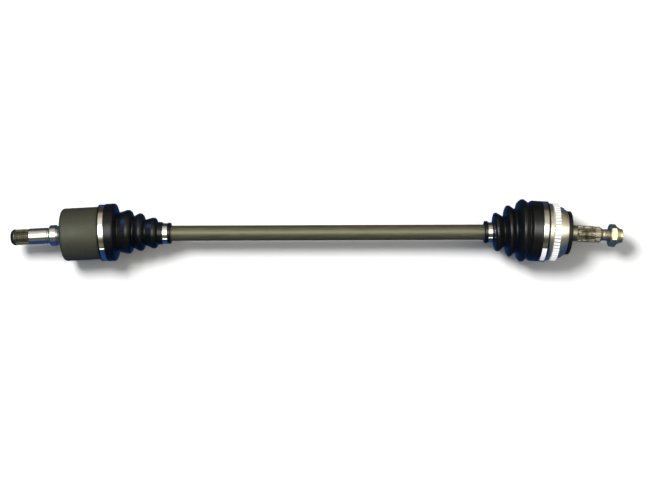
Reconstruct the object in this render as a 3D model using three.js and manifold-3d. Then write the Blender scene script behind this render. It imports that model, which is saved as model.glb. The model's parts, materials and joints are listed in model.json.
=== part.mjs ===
// A front-wheel drive half-shaft lying level: a plunging tripod joint at the gearbox end (-X)
// and a fixed ball joint at the wheel end (+X), each sealed by a rubber boot.
// Millimetres, +X along the shaft towards the wheel, +Z up.
import * as THREE from "three";
import { mergeVertices } from "three/addons/utils/BufferGeometryUtils.js";
import Module from "manifold-3d";

const wasm = await Module();
wasm.setup();

// ---- Driving dimensions ----

const GAP = 0.3; // clearance between pieces that touch
const WELD = 1e-3; // vertices closer than this are one vertex
const FACETS = 24; // flat sides round the large turned pieces
const SMALL_FACETS = 16; // flat sides round the small turned pieces

const TRIPOD_X = -375; // centre of the plunging joint
const BALL_JOINT_X = 361; // centre of the fixed joint
const INBOARD_ANGLE = THREE.MathUtils.degToRad(2.8); // rest bend of the plunging joint
const OUTBOARD_ANGLE = THREE.MathUtils.degToRad(-3.5); // rest bend of the fixed joint

const BAR_R = 12.2;
const NECK_R = 11; // slimmer stretch of the bar inside each boot
const SPLINE_SEAT_R = 12; // shaft ends that carry the spider and the inner race
const SHAFT_PAST_TRIPOD = 14; // shaft end beyond the joint centre
const SHAFT_PAST_BALLS = 15;
const CLIP_WIDTH = 1.6;
const CLIP_DEPTH = 1.2;

const SPIDER_HUB_R = 17.5;
const SPIDER_HALF_WIDTH = 10;
const TRUNNIONS = 3;
const TRUNNION_R = 8;
const TRUNNION_TIP = 34; // from the joint axis
const ROLLER_CENTRE = 26; // from the joint axis
const ROLLER_R = 13.3;
const ROLLER_BORE_R = 11;
const ROLLER_HALF_WIDTH = 5.5;
const NEEDLES = 14;

const CUP_R = 42;
const CUP_MOUTH = -32; // the plunging joint's own frame: +X is away from the bar
const CUP_BACK = 42.6;
const CUP_FLOOR = 36.5;
const CUP_BORE_R = 37.5;
const CUP_RIDGE_R = 21;
const TRACK_HALF_WIDTH = 15.2;
const CUP_CORNER_R = 5.5;

const GEAR_STUB_SHOULDER_R = 16.5;
const GEAR_STUB_JOURNAL_R = 12.8;
const GEAR_STUB_SPLINE_R = 12.4;
const GEAR_STUB_END = 125.4;
const GEAR_STUB_TEETH = 23;
const STUB_CLIP_X = 118.6;

const BALLS = 6;
const BALL_R = 7.8;
const BALL_CIRCLE_R = 30;
const BALL_TRACK_R = 10;
const CAGE_IN_R = 27.5;
const CAGE_OUT_R = 33.5;
const CAGE_HALF_WIDTH = 13.5;
const WINDOW_LENGTH = 16.5; // along the axis
const WINDOW_WIDTH = 18.5; // round the cage
const BELL_BORE_R = 33.9;
const RACE_R = 26.5;
const RACE_HALF_WIDTH = 11.5;

const BELL_MOUTH = -21; // the fixed joint's own frame: +X is away from the bar
const BELL_RIM_R = 44;
const BELL_RING_R = 45.4;
const BELL_FLOOR = 24.5;
const HUB_SEAT_R = 21.7;
const HUB_SEAT_X = 30.6;
const WHEEL_SPLINE_R = 13;
const WHEEL_SPLINE_FROM = 41.1;
const WHEEL_SPLINE_TO = 69.4;
const WHEEL_TEETH = 26;
const WHEEL_LAND_R = 12.6;
const THREAD_R = 9.6;
const THREAD_RELIEF_R = 9;
const THREAD_END = 112.6;

const TONE_TEETH = 50;
const TONE_R = 45.8;
const TONE_ROOT_R = 44.2;
const TONE_BORE_R = 42;
const TONE_FROM = -1.1;
const TONE_WIDTH = 9.3;

const CAP_R = 34.7;
const CAP_FROM = 23.4;
const CAP_LIP = 28.3; // the cap's thin face, over the bell's shoulder
const CAP_TO = 29.6;
const CAP_BORE_R = 30.8;

const NUT_FROM = 92.9;
const NUT_WASHER_R = 17.8;
const NUT_ACROSS_FLATS = 32;
const NUT_COLLAR_R = 10.9;

// Each boot is drawn from its small end to its large end in its joint's own frame. A fold rises
// steeply on the bar's side at footX, and slopes gently from its crest down to the next valley.
const INBOARD_BOOT = {
  wall: 2.2,
  smallEnd: -129.5,
  lipR: 17,
  seatFrom: -124.4,
  seatTo: -116.4,
  seatR: 14.8,
  neckR: 18,
  folds: [
    { footX: -108.6, crestX: -102, crestR: 24.8, valleyX: -89.8, valleyR: 21 },
    { footX: -88.2, crestX: -80.8, crestR: 30.4, valleyX: -71, valleyR: 25.6 },
    { footX: -69.4, crestX: -61.8, crestR: 35.2, valleyX: -46.5, valleyR: 30.8 },
  ],
  lean: 0.052,
  leanSkew: 2,
  collarFrom: -41.9,
  collarTo: -27.8,
  collarR: 46,
  clampSeatR: 44,
  clampEnd: -19.5,
  largeEnd: -17.4,
  housingR: CUP_R,
  housingMouth: CUP_MOUTH,
};
const OUTBOARD_BOOT = {
  wall: 2.2,
  smallEnd: -107,
  lipR: 17.8,
  seatFrom: -101.2,
  seatTo: -94.2,
  seatR: 14.6,
  neckR: 16.6,
  folds: [
    { footX: -93.3, crestX: -87.8, crestR: 30.9, valleyX: -76.8, valleyR: 24.6 },
    { footX: -75.2, crestX: -68.4, crestR: 41, valleyX: -59.6, valleyR: 35.2 },
    { footX: -57.8, crestX: -47.4, crestR: 50.4, valleyX: -38.4, valleyR: 44.4 },
  ],
  lean: -0.058,
  leanSkew: 0.42,
  collarFrom: -34,
  collarTo: -19,
  collarR: 48.4,
  clampSeatR: 47,
  clampEnd: -11,
  largeEnd: -8.6,
  housingR: BELL_RIM_R,
  housingMouth: BELL_MOUTH,
};
const CREST_HALF_FLAT = 1.9;
const FLANK_REACH = 0.3; // a fold's steep flank bulges here, as a share of the way to its crest
const FLANK_RISE = 0.7; // and this share of the crest's height
const BAND_THICKNESS = 0.9;
const LIP_HEIGHT = 1.4; // of the rubber lip that keeps a large clamp from slipping off its seat
const LAP_TURN = 0.2; // of a turn
const LAP_OFF_TOP = 0.097; // from the top of a clamp to the visible edge of its lap, in turns

// ---- Materials: colour, roughness, metalness ----

const paint = (color, roughness, metalness) => () =>
  new THREE.MeshStandardMaterial({ color, roughness, metalness });
const barSteel = paint(0x4a4a3c, 0.42, 0.8);
const forgedSteel = paint(0x34352c, 0.55, 0.7);
const groundSteel = paint(0xb4b3ab, 0.22, 1);
const bandSteel = paint(0xc4c4be, 0.25, 1);
const toneSteel = paint(0xa9a89c, 0.35, 1);
const rubber = paint(0x17181a, 0.5, 0);
const capBlack = paint(0x1c1d1f, 0.6, 0.1);
const zincNut = paint(0xa39f7e, 0.32, 0.9);
const springSteel = paint(0x3f4042, 0.4, 0.9);

// ---- From three.js geometry to solids and back ----

function solid(geometry) {
  const loose = geometry.index ? geometry.toNonIndexed() : geometry.clone();
  loose.deleteAttribute("normal");
  loose.deleteAttribute("uv");
  const welded = mergeVertices(loose, WELD);
  const corners = welded.index.array;
  const kept = [];
  for (let i = 0; i < corners.length; i += 3) {
    const [a, b, c] = corners.subarray(i, i + 3);
    if (a !== b && b !== c && c !== a) kept.push(a, b, c);
  }
  const vertProperties = welded.attributes.position.array;
  const build = (triVerts) =>
    new wasm.Manifold(new wasm.Mesh({ numProp: 3, vertProperties, triVerts }));
  const made = build(new Uint32Array(kept));
  return made.volume() > 0 ? made : build(new Uint32Array(kept.reverse()));
}

function surface(body) {
  const mesh = body.getMesh();
  const xyz = new Float32Array(mesh.numVert * 3);
  for (let i = 0; i < mesh.numVert; i++) {
    const start = i * mesh.numProp;
    xyz.set(mesh.vertProperties.subarray(start, start + 3), i * 3);
  }
  const geometry = new THREE.BufferGeometry();
  geometry.setAttribute("position", new THREE.BufferAttribute(xyz, 3));
  geometry.setIndex(new THREE.BufferAttribute(mesh.triVerts, 1));
  geometry.computeVertexNormals();
  return geometry;
}

function piece(name, body, material) {
  const mesh = new THREE.Mesh(surface(body), material());
  mesh.name = name;
  return mesh;
}

// ---- Shapes that repeat ----

// A profile of [x, radius] points turned round the X axis, with a flat side facing down.
function turned(profile, facets = FACETS) {
  const points = profile.map(([x, r]) => new THREE.Vector2(r, x));
  const geometry = new THREE.LatheGeometry(points, facets, Math.PI / facets);
  return geometry.rotateZ(-Math.PI / 2);
}

// A solid round body: its profile is closed on the axis at both ends.
function shaftOf(steps, facets) {
  const first = steps[0][0];
  const last = steps[steps.length - 1][0];
  return solid(turned([[first, 0], ...steps, [last, 0]], facets));
}

// A ring: its profile is closed on itself.
function ringOf(profile, facets) {
  return solid(turned([...profile, profile[0]], facets));
}

function plainRing(from, to, inR, outR, facets) {
  return ringOf([[from, inR], [from, outR], [to, outR], [to, inR]], facets);
}

// A flat outline in the YZ plane, drawn out along +X from x.
function drawnAlongX(shape, x, length) {
  const geometry = new THREE.ExtrudeGeometry(shape, { depth: length, bevelEnabled: false });
  return geometry.rotateY(Math.PI / 2).translate(x, 0, 0);
}

// Points round a circle whose radius is a function of the angle from 0 to 1 turn.
function polarPoints(count, radiusAt, start = 0, turn = 1) {
  const points = [];
  const last = turn === 1 ? count : count + 1;
  for (let i = 0; i < last; i++) {
    const angle = 2 * Math.PI * (start + (turn * i) / count);
    const r = radiusAt(i);
    points.push(new THREE.Vector2(r * Math.cos(angle), r * Math.sin(angle)));
  }
  return points;
}

// Teeth with flat tops and flat gaps, as on a spline or a tone ring.
function toothedShape(teeth, rootR, tipR) {
  return new THREE.Shape(polarPoints(teeth * 4, (i) => (i % 4 < 2 ? tipR : rootR)));
}

function circlePath(r, facets) {
  return new THREE.Path(polarPoints(facets, () => r, 0.5 / facets));
}

// A snap ring with a gap, as wide as a groove allows.
function snapRing(x, width, inR, outR) {
  const steps = 16;
  const opening = 0.06;
  const outer = polarPoints(steps, () => outR, opening, 1 - 2 * opening);
  const inner = polarPoints(steps, () => inR, opening, 1 - 2 * opening).reverse();
  return solid(drawnAlongX(new THREE.Shape([...outer, ...inner]), x, width));
}

// A clamp band whose end laps over its start in a step, on the side of the joint's own -Y or +Y.
// Turns are counted from underneath.
function clampBand(from, width, inR, side) {
  const top = 0.5;
  const thin = inR + BAND_THICKNESS;
  const count = 40;
  const outline = new THREE.Shape(
    polarPoints(count, (i) => {
      const pastTop = side * (i / count - top) - LAP_OFF_TOP;
      return pastTop >= 0 && pastTop <= LAP_TURN ? thin + BAND_THICKNESS : thin;
    }),
  );
  outline.holes.push(circlePath(inR, FACETS));
  return solid(drawnAlongX(outline, from, width));
}

// Turns a geometry's X axis up to Z, and then round the X axis to one of equal places.
function radial(geometry, index, count) {
  return geometry.rotateY(-Math.PI / 2).rotateX((2 * Math.PI * index) / count);
}

// ---- The shaft ----

// A groove for a snap ring, in a shaft profile that is r wide there.
function groove(x, r) {
  return [[x, r], [x, r - CLIP_DEPTH], [x + CLIP_WIDTH, r - CLIP_DEPTH], [x + CLIP_WIDTH, r]];
}

function axleShaft() {
  const chamfer = 1;
  const spiderClip = SPIDER_HALF_WIDTH + GAP;
  const raceClip = RACE_HALF_WIDTH + GAP;
  const seatEnd = 15.5; // half the length of the splined seat on the bar's side of a joint
  const neckEnd = 40;
  const taper = 6;
  return shaftOf(
    [
      [TRIPOD_X - SHAFT_PAST_TRIPOD, SPLINE_SEAT_R - chamfer],
      [TRIPOD_X - SHAFT_PAST_TRIPOD + chamfer, SPLINE_SEAT_R],
      ...groove(TRIPOD_X - spiderClip - CLIP_WIDTH, SPLINE_SEAT_R),
      ...groove(TRIPOD_X + spiderClip, SPLINE_SEAT_R),
      [TRIPOD_X + seatEnd, SPLINE_SEAT_R],
      [TRIPOD_X + seatEnd + chamfer, NECK_R],
      [TRIPOD_X + neckEnd, NECK_R],
      [TRIPOD_X + neckEnd + taper, BAR_R],
      [BALL_JOINT_X - neckEnd - taper, BAR_R],
      [BALL_JOINT_X - neckEnd, NECK_R],
      [BALL_JOINT_X - seatEnd - chamfer, NECK_R],
      [BALL_JOINT_X - seatEnd, SPLINE_SEAT_R],
      ...groove(BALL_JOINT_X - raceClip - CLIP_WIDTH, SPLINE_SEAT_R),
      ...groove(BALL_JOINT_X + raceClip, SPLINE_SEAT_R),
      [BALL_JOINT_X + SHAFT_PAST_BALLS - chamfer, SPLINE_SEAT_R],
      [BALL_JOINT_X + SHAFT_PAST_BALLS, SPLINE_SEAT_R - chamfer],
    ],
    SMALL_FACETS,
  );
}

function shaftClip(x) {
  const play = 0.15;
  const inR = SPLINE_SEAT_R - CLIP_DEPTH + GAP;
  return snapRing(x + play, CLIP_WIDTH - 2 * play, inR, SPLINE_SEAT_R + 1.6);
}

// ---- The plunging tripod joint, in its own frame ----

function spider() {
  const edge = 1.2;
  const half = SPIDER_HALF_WIDTH;
  let body = shaftOf(
    [[-half, SPIDER_HUB_R - edge], [edge - half, SPIDER_HUB_R], [half - edge, SPIDER_HUB_R],
      [half, SPIDER_HUB_R - edge]],
    SMALL_FACETS,
  );
  const tipChamfer = 1;
  for (let i = 0; i < TRUNNIONS; i++) {
    const pin = turned(
      [[0, 0], [0, TRUNNION_R], [TRUNNION_TIP - tipChamfer, TRUNNION_R],
        [TRUNNION_TIP, TRUNNION_R - tipChamfer], [TRUNNION_TIP, 0]],
      SMALL_FACETS,
    );
    body = body.add(solid(radial(pin, i, TRUNNIONS)));
  }
  const past = 2 * half;
  return body.subtract(
    shaftOf([[-past, SPLINE_SEAT_R + GAP], [past, SPLINE_SEAT_R + GAP]], SMALL_FACETS),
  );
}

// A roller has a barrel-shaped outside, part of a sphere about its own centre.
function roller(index) {
  const arcSteps = 4;
  const profile = [];
  for (let i = 0; i <= arcSteps; i++) {
    const x = ROLLER_HALF_WIDTH * ((2 * i) / arcSteps - 1);
    profile.push([ROLLER_CENTRE + x, Math.sqrt(ROLLER_R ** 2 - x ** 2)]);
  }
  profile.push([ROLLER_CENTRE + ROLLER_HALF_WIDTH, ROLLER_BORE_R]);
  profile.push([ROLLER_CENTRE - ROLLER_HALF_WIDTH, ROLLER_BORE_R]);
  return solid(radial(turned([...profile, profile[0]], SMALL_FACETS), index, TRUNNIONS));
}

// The needles stand side by side round the trunnion, joined into one scalloped sleeve.
function needleSet(index) {
  const outR = ROLLER_BORE_R - GAP;
  const scallop = 0.5;
  const inset = 0.6;
  const outline = new THREE.Shape(polarPoints(NEEDLES * 2, (i) => outR - scallop * (i % 2)));
  outline.holes.push(circlePath(TRUNNION_R + GAP + 0.1, SMALL_FACETS));
  const length = 2 * (ROLLER_HALF_WIDTH - inset);
  const sleeve = drawnAlongX(outline, ROLLER_CENTRE - length / 2, length);
  return solid(radial(sleeve, index, TRUNNIONS));
}

// The washer that keeps a roller and its needles on the trunnion.
function rollerClip(index) {
  const from = ROLLER_CENTRE + ROLLER_HALF_WIDTH + GAP;
  const thickness = 1;
  const inR = TRUNNION_R + GAP;
  const outR = 12;
  const profile = [[from, inR], [from, outR], [from + thickness, outR],
    [from + thickness, inR], [from, inR]];
  return solid(radial(turned(profile, SMALL_FACETS), index, TRUNNIONS));
}

// The cup's hollow across the axis: three wide roller tracks and three ridges between them.
function tulipShape() {
  const points = [];
  const arcSteps = 5;
  const trackAngle = Math.asin(TRACK_HALF_WIDTH / CUP_BORE_R);
  const ridgeAngle = Math.asin(TRACK_HALF_WIDTH / CUP_RIDGE_R);
  for (let track = 0; track < TRUNNIONS; track++) {
    const middle = Math.PI + (2 * Math.PI * track) / TRUNNIONS;
    const at = (angle, r) =>
      points.push(new THREE.Vector2(r * Math.cos(middle + angle), r * Math.sin(middle + angle)));
    at(-ridgeAngle, CUP_RIDGE_R);
    for (let i = 0; i <= arcSteps; i++) at(trackAngle * ((2 * i) / arcSteps - 1), CUP_BORE_R);
    at(ridgeAngle, CUP_RIDGE_R);
  }
  return new THREE.Shape(points);
}

function innerHousing() {
  const splineFrom = 97.2;
  const splineTo = 123;
  const root = GEAR_STUB_SPLINE_R - 1;
  const clipRoot = 10.6;
  let body = shaftOf([
    [CUP_MOUTH, CUP_R],
    [CUP_BACK - CUP_CORNER_R, CUP_R],
    [CUP_BACK - 0.3 * CUP_CORNER_R, CUP_R - 0.3 * CUP_CORNER_R],
    [CUP_BACK, CUP_R - CUP_CORNER_R],
    [CUP_BACK, 20.5],
    [52, 14],
    [53, GEAR_STUB_SHOULDER_R],
    [62.2, GEAR_STUB_SHOULDER_R],
    [64.5, GEAR_STUB_SHOULDER_R - 2.3],
    [64.5, GEAR_STUB_JOURNAL_R - 1],
    [67, GEAR_STUB_JOURNAL_R - 1],
    [67.4, GEAR_STUB_JOURNAL_R],
    [splineFrom - 1, GEAR_STUB_JOURNAL_R],
    [splineFrom, root],
    [splineTo, root],
    [GEAR_STUB_END, root - 2],
  ]);
  const teeth = toothedShape(GEAR_STUB_TEETH, root - 0.1, GEAR_STUB_SPLINE_R);
  body = body.add(solid(drawnAlongX(teeth, splineFrom, splineTo - splineFrom)));
  body = body.subtract(
    plainRing(STUB_CLIP_X, STUB_CLIP_X + CLIP_WIDTH, clipRoot, GEAR_STUB_JOURNAL_R + 2),
  );
  const start = CUP_MOUTH - 1;
  body = body.subtract(solid(drawnAlongX(tulipShape(), start, CUP_FLOOR - start)));
  // The ridges flare at the mouth, so the bar can swing.
  const flareFrom = -15;
  const flareR = 27.5;
  return body.subtract(
    shaftOf([[flareFrom, CUP_RIDGE_R], [CUP_MOUTH, flareR], [start, flareR]].reverse()),
  );
}

function stubClip() {
  const play = 0.15;
  return snapRing(STUB_CLIP_X + play, CLIP_WIDTH - 2 * play, 10.9, GEAR_STUB_SPLINE_R + 0.6);
}

// ---- The fixed ball joint, in its own frame ----

// Full circles of a ball's path, one for each opposite pair of balls, a little wider than a ball.
function trackRings() {
  const sides = 10;
  const steps = 36;
  const circle = [];
  for (let i = 0; i < sides; i++) {
    const angle = (2 * Math.PI * (i + 0.5)) / sides;
    circle.push([BALL_TRACK_R * Math.cos(angle), BALL_CIRCLE_R + BALL_TRACK_R * Math.sin(angle)]);
  }
  let all;
  for (let pair = 0; pair < BALLS / 2; pair++) {
    const ring = turned([...circle, circle[0]], steps);
    ring.rotateZ(Math.PI / 2).rotateX((2 * Math.PI * pair) / BALLS);
    all = all ? all.add(solid(ring)) : solid(ring);
  }
  return all;
}

// A ball-shaped body about the joint centre, kept between two planes across the axis.
function sphereSlice(r, from, to, steps) {
  const start = Math.asin(THREE.MathUtils.clamp(from / r, -1, 1));
  const end = Math.asin(THREE.MathUtils.clamp(to / r, -1, 1));
  const arc = [];
  for (let i = 0; i <= steps; i++) {
    const angle = start + ((end - start) * i) / steps;
    arc.push([r * Math.sin(angle), r * Math.cos(angle)]);
  }
  return arc;
}

function outerHousing() {
  const ringFrom = -8.2;
  const ringTo = -3.2;
  const seatR = TONE_BORE_R - GAP;
  const seatTo = TONE_FROM + TONE_WIDTH + 0.6;
  const splineRoot = WHEEL_SPLINE_R - 1;
  let body = shaftOf([
    [BELL_MOUTH, BELL_RIM_R - 1],
    [BELL_MOUTH + 1, BELL_RIM_R],
    [ringFrom, BELL_RIM_R],
    [ringFrom, BELL_RING_R],
    [ringTo, BELL_RING_R],
    [TONE_FROM - GAP, BELL_RIM_R],
    [TONE_FROM - GAP, seatR],
    [seatTo, seatR],
    [17, 39.6],
    [17, 38.4],
    [22, 35.6],
    [CAP_FROM - GAP, 33.4],
    [CAP_FROM - GAP, CAP_BORE_R - GAP],
    [CAP_LIP - GAP, CAP_BORE_R - GAP],
    [CAP_LIP - GAP, HUB_SEAT_R],
    [HUB_SEAT_X, HUB_SEAT_R],
    [HUB_SEAT_X, WHEEL_LAND_R],
    [WHEEL_SPLINE_FROM - 1, WHEEL_LAND_R],
    [WHEEL_SPLINE_FROM, splineRoot],
    [WHEEL_SPLINE_TO, splineRoot],
    [WHEEL_SPLINE_TO + 0.5, WHEEL_LAND_R],
    [77.8, WHEEL_LAND_R],
    [82, THREAD_RELIEF_R],
    [85, THREAD_RELIEF_R],
    [85.6, THREAD_R],
    [THREAD_END - 1, THREAD_R],
    [THREAD_END, THREAD_R - 1],
  ]);
  const teeth = toothedShape(WHEEL_TEETH, splineRoot - 0.1, WHEEL_SPLINE_R);
  const splineLength = WHEEL_SPLINE_TO - WHEEL_SPLINE_FROM;
  body = body.add(solid(drawnAlongX(teeth, WHEEL_SPLINE_FROM, splineLength)));
  const hollow = shaftOf(sphereSlice(BELL_BORE_R, BELL_MOUTH - 5, BELL_FLOOR, 10));
  const far = 60;
  const reach = shaftOf([[-far, far], [BELL_FLOOR, far]], 8);
  body = body.subtract(hollow).subtract(trackRings().intersect(reach));
  // The mouth opens out, so the bar can swing.
  const flareFrom = -14;
  const flareR = 34.5;
  const throatR = 30.4;
  return body.subtract(
    shaftOf([[BELL_MOUTH - 1, flareR + 1], [BELL_MOUTH, flareR], [flareFrom, throatR]]),
  );
}

function toneRing() {
  const outline = toothedShape(TONE_TEETH, TONE_ROOT_R, TONE_R);
  outline.holes.push(circlePath(TONE_BORE_R, FACETS));
  return solid(drawnAlongX(outline, TONE_FROM, TONE_WIDTH));
}

function dustCap() {
  const round = 1.6;
  return ringOf([
    [CAP_LIP, HUB_SEAT_R + GAP],
    [CAP_LIP, CAP_BORE_R],
    [CAP_FROM, CAP_BORE_R],
    [CAP_FROM, CAP_R],
    [CAP_TO - round, CAP_R],
    [CAP_TO - 0.3 * round, CAP_R - 0.3 * round],
    [CAP_TO, CAP_R - round],
    [CAP_TO, HUB_SEAT_R + GAP],
  ]);
}

function innerRace() {
  const facets = 20;
  const edge = RACE_HALF_WIDTH;
  const ball = shaftOf(sphereSlice(RACE_R, -edge, edge, 6), facets);
  const bore = shaftOf([[-2 * edge, SPLINE_SEAT_R + GAP], [2 * edge, SPLINE_SEAT_R + GAP]],
    SMALL_FACETS);
  return ball.subtract(trackRings()).subtract(bore);
}

function cage() {
  const outer = sphereSlice(CAGE_OUT_R, -CAGE_HALF_WIDTH, CAGE_HALF_WIDTH, 6);
  const inner = sphereSlice(CAGE_IN_R, -CAGE_HALF_WIDTH, CAGE_HALF_WIDTH, 4).reverse();
  let body = ringOf([...outer, ...inner]);
  for (let i = 0; i < BALLS; i++) {
    const opening = new THREE.BoxGeometry(WINDOW_LENGTH, WINDOW_WIDTH, 2 * CAGE_IN_R);
    opening.translate(0, 0, CAGE_IN_R).rotateX((2 * Math.PI * i) / BALLS);
    body = body.subtract(solid(opening));
  }
  return body;
}

function ball(index) {
  const sphere = new THREE.SphereGeometry(BALL_R, 12, 8);
  sphere.translate(0, BALL_CIRCLE_R, 0).rotateX(Math.PI / 2 + (2 * Math.PI * index) / BALLS);
  return solid(sphere);
}

function hubNut() {
  const flangeTo = NUT_FROM + 2.2;
  const hexTo = 103.6;
  const coneTo = 109.7;
  const end = 113.4;
  const lap = 0.2; // solids that join run into each other by this much
  const chamfer = 1.4;
  const coneR = 14.6;
  const hexR = NUT_ACROSS_FLATS / 2 / Math.cos(Math.PI / 6);
  const hexStart = 0.5 / 6 - 0.02; // in turns: a flat faces up, leaning a little towards +Y
  const hexagon = new THREE.Shape(polarPoints(6, () => hexR, hexStart));
  const hex = solid(drawnAlongX(hexagon, flangeTo - lap, hexTo - flangeTo + lap));
  const chamferCone = shaftOf(
    [[NUT_FROM, hexR], [hexTo - chamfer, hexR], [hexTo, hexR - 1.8 * chamfer]],
  );
  const flange = shaftOf([[NUT_FROM, NUT_WASHER_R], [flangeTo, NUT_WASHER_R - 2 * lap]]);
  const cone = shaftOf(
    [[hexTo - lap, coneR], [coneTo, NUT_COLLAR_R + 2 * lap], [coneTo + 2 * lap, NUT_COLLAR_R],
      [end, NUT_COLLAR_R]],
  );
  const bore = shaftOf([[NUT_FROM - 1, THREAD_R + GAP], [end + 1, THREAD_R + GAP]]);
  return flange.add(hex.intersect(chamferCone)).add(cone).subtract(bore);
}

// ---- The boots ----

function bootOutline(boot) {
  const bore = BAR_R + GAP + 0.1;
  const seatStep = 0.4;
  const outer = [
    [boot.smallEnd, bore],
    [boot.smallEnd, boot.lipR - 1],
    [boot.smallEnd + 1.2, boot.lipR],
    [boot.seatFrom - seatStep, boot.lipR],
    [boot.seatFrom - seatStep, boot.seatR],
    [boot.seatTo + seatStep, boot.seatR],
    [boot.seatTo + seatStep, boot.neckR],
  ];
  const inner = [[boot.seatTo + 2, bore]];
  let footR = boot.neckR;
  for (const { footX, crestX, crestR, valleyX, valleyR } of boot.folds) {
    const rise = crestR - footR;
    outer.push([Math.max(footX, boot.seatTo + 2 * seatStep), footR]);
    outer.push([footX + FLANK_REACH * (crestX - footX), footR + FLANK_RISE * rise]);
    outer.push([crestX - CREST_HALF_FLAT, crestR]);
    outer.push([crestX + CREST_HALF_FLAT, crestR]);
    outer.push([valleyX, valleyR]);
    inner.push([crestX, crestR - boot.wall]);
    inner.push([valleyX, valleyR - boot.wall]);
    footR = valleyR;
  }
  const housingBore = boot.housingR + GAP;
  const mouth = boot.housingMouth - 1;
  outer.push([boot.collarFrom, boot.collarR]);
  outer.push([boot.collarTo, boot.collarR]);
  outer.push([boot.collarTo, boot.clampSeatR]);
  outer.push([boot.clampEnd, boot.clampSeatR]);
  outer.push([boot.clampEnd, boot.clampSeatR + LIP_HEIGHT]);
  outer.push([boot.largeEnd, boot.clampSeatR + LIP_HEIGHT]);
  inner.push([boot.collarFrom + boot.wall, housingBore]);
  inner.push([mouth, housingBore]);
  inner.push([boot.largeEnd, housingBore]);
  return [...outer, ...inner.reverse()];
}

// Bends a boot about its joint: all of the angle at the collar, none of it at the small end.
// Its folds also lean a little along the axis, where the bend bunches them.
function bootOf(boot, angle) {
  const geometry = turned([...bootOutline(boot), bootOutline(boot)[0]]);
  const position = geometry.attributes.position;
  const from = boot.seatTo;
  const to = boot.collarFrom;
  for (let i = 0; i < position.count; i++) {
    const x = position.getX(i);
    const y = position.getY(i);
    const turn = angle * THREE.MathUtils.smoothstep(x, from, to);
    const along = THREE.MathUtils.clamp((x - from) / (boot.collarTo - from), 0, 1);
    const leant = x + boot.lean * Math.sin(Math.PI * along ** boot.leanSkew) * y;
    position.setX(i, leant * Math.cos(turn) - y * Math.sin(turn));
    position.setY(i, leant * Math.sin(turn) + y * Math.cos(turn));
  }
  return solid(geometry);
}

function largeClamp(boot, side) {
  const from = boot.collarTo + GAP;
  const to = boot.clampEnd - GAP;
  return clampBand(from, to - from, boot.clampSeatR + GAP, side);
}

function smallClamp(boot, side) {
  const inset = 0.1;
  const width = boot.seatTo - boot.seatFrom - 2 * inset;
  return clampBand(boot.seatFrom + inset, width, boot.seatR + GAP, side);
}

// ---- Assembly ----

function placed(x, angle, pieces) {
  const group = new THREE.Group();
  group.position.x = x;
  group.rotation.z = angle;
  group.add(...pieces);
  return group;
}

const axle = new THREE.Group();
const spiderClipX = SPIDER_HALF_WIDTH + GAP;
const raceClipX = RACE_HALF_WIDTH + GAP;

axle.add(
  piece("axle_shaft", axleShaft(), barSteel),
  piece("spider_outer_clip", shaftClip(TRIPOD_X - spiderClipX - CLIP_WIDTH), springSteel),
  piece("spider_inner_clip", shaftClip(TRIPOD_X + spiderClipX), springSteel),
  piece("race_stop_ring", shaftClip(BALL_JOINT_X - raceClipX - CLIP_WIDTH), springSteel),
  piece("race_clip", shaftClip(BALL_JOINT_X + raceClipX), springSteel),
);

// Pieces of the tripod joint that stay square to the bar. The joint's frame points its +X out.
const tripod = [
  piece("spider", spider(), groundSteel),
  piece("inner_boot", bootOf(INBOARD_BOOT, INBOARD_ANGLE), rubber),
  piece("inner_small_clamp", smallClamp(INBOARD_BOOT, -1), bandSteel),
];
for (let i = 0; i < TRUNNIONS; i++) {
  tripod.push(piece(`roller_${i + 1}`, roller(i), groundSteel));
  tripod.push(piece(`needle_set_${i + 1}`, needleSet(i), groundSteel));
  tripod.push(piece(`roller_clip_${i + 1}`, rollerClip(i), springSteel));
}
axle.add(placed(TRIPOD_X, Math.PI, tripod));

axle.add(
  placed(TRIPOD_X, Math.PI + INBOARD_ANGLE, [
    piece("inner_housing", innerHousing(), forgedSteel),
    piece("inner_stub_clip", stubClip(), springSteel),
    piece("inner_large_clamp", largeClamp(INBOARD_BOOT, -1), bandSteel),
  ]),
);

// Pieces of the ball joint: square to the bar, at half of the bend, and at all of it.
axle.add(
  placed(BALL_JOINT_X, 0, [
    piece("inner_race", innerRace(), groundSteel),
    piece("outer_boot", bootOf(OUTBOARD_BOOT, OUTBOARD_ANGLE), rubber),
    piece("outer_small_clamp", smallClamp(OUTBOARD_BOOT, 1), bandSteel),
  ]),
);
const halfBend = [piece("cage", cage(), groundSteel)];
for (let i = 0; i < BALLS; i++) {
  halfBend.push(piece(`ball_${i + 1}`, ball(i), groundSteel));
}
axle.add(placed(BALL_JOINT_X, OUTBOARD_ANGLE / 2, halfBend));
axle.add(
  placed(BALL_JOINT_X, OUTBOARD_ANGLE, [
    piece("outer_housing", outerHousing(), forgedSteel),
    piece("abs_ring", toneRing(), toneSteel),
    piece("dust_cap", dustCap(), capBlack),
    piece("hub_nut", hubNut(), zincNut),
    piece("outer_large_clamp", largeClamp(OUTBOARD_BOOT, 1), bandSteel),
  ]),
);

// The origin is under the middle of the part, on the surface that it lies on.
const box = new THREE.Box3().setFromObject(axle, true);
const middle = box.getCenter(new THREE.Vector3());
axle.position.set(-middle.x, -middle.y, -box.min.z);

const part = new THREE.Group();
part.add(axle);

export default part;
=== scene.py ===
# A front-wheel drive half-shaft on a pale floor, seen from above, +X towards the wheel.
# Shapes are drawn in millimetres, and each joint frame's matrix turns them into metres.
import json
import math

import bmesh
import bpy
import numpy as np
from mathutils import Matrix, Vector

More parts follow.
